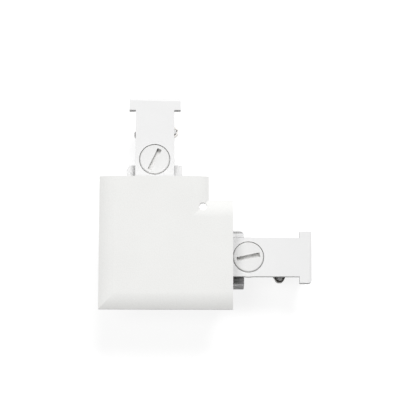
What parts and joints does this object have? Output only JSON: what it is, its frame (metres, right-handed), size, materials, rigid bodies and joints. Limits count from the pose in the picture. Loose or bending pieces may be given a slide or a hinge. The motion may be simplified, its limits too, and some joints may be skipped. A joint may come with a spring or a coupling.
{
  "type": "l-shaped track connector",
  "caption": "L-shaped corner coupler for a recessed lighting track, with a flanged cover and two track inserts at right angles, each with a coin-slot lock.",
  "frame": {"origin": "crossing of the two track centre lines, on the flat back of the housing", "axes": "+Z towards the room, out of the cover; +X along one insert and +Y along the other"},
  "size_m": [0.1087, 0.1112, 0.034],
  "materials": {
    "cover_white": "fine moulded grain",
    "insert_white": "smooth moulded",
    "cam_white": "smooth moulded",
    "nest_grey": "moulded",
    "tinned_copper": "tinned strip",
    "brass": "machined",
    "zinc_steel": "zinc plated"
  },
  "bodies": {
    "connector": {"cover_plate": "cover_white", "corner_housing": "cover_white", "insert_face_x": "insert_white", "insert_face_y": "insert_white", "insert_carrier_x": "insert_white", "insert_carrier_y": "insert_white", "terminal_block": "nest_grey", "bar_outer_upper": "tinned_copper", "bar_outer_lower": "tinned_copper", "bar_inner_upper": "tinned_copper", "bar_inner_lower": "tinned_copper", "earth_strip": "tinned_copper", "clamp_outer_upper": "brass", "clamp_outer_lower": "brass", "clamp_inner_upper": "brass", "clamp_inner_lower": "brass", "clamp_earth": "brass", "cam_washer_x": "zinc_steel", "cam_washer_y": "zinc_steel", "insert_screw_x_inner": "zinc_steel", "insert_screw_x_outer": "zinc_steel", "insert_screw_y_inner": "zinc_steel", "insert_screw_y_outer": "zinc_steel", "clamp_screw_outer_upper": "zinc_steel", "clamp_screw_outer_lower": "zinc_steel", "clamp_screw_inner_upper": "zinc_steel", "clamp_screw_inner_lower": "zinc_steel", "clamp_screw_earth": "zinc_steel"},
    "lock_x": {"lock_cam_x": "cam_white"},
    "lock_y": {"lock_cam_y": "cam_white"}
  },
  "joints": [
    {"name": "lock_turn_x", "type": "hinge", "parent": "connector", "child": "lock_x", "pos_m": [0.0484, 0, 0.022], "axis": [0, 0, 1], "range_deg": [-102.3, 77.7]},
    {"name": "lock_turn_y", "type": "hinge", "parent": "connector", "child": "lock_y", "pos_m": [0, 0.0509, 0.022], "axis": [0, 0, 1], "range_deg": [-64.5, 115.5]}
  ]
}
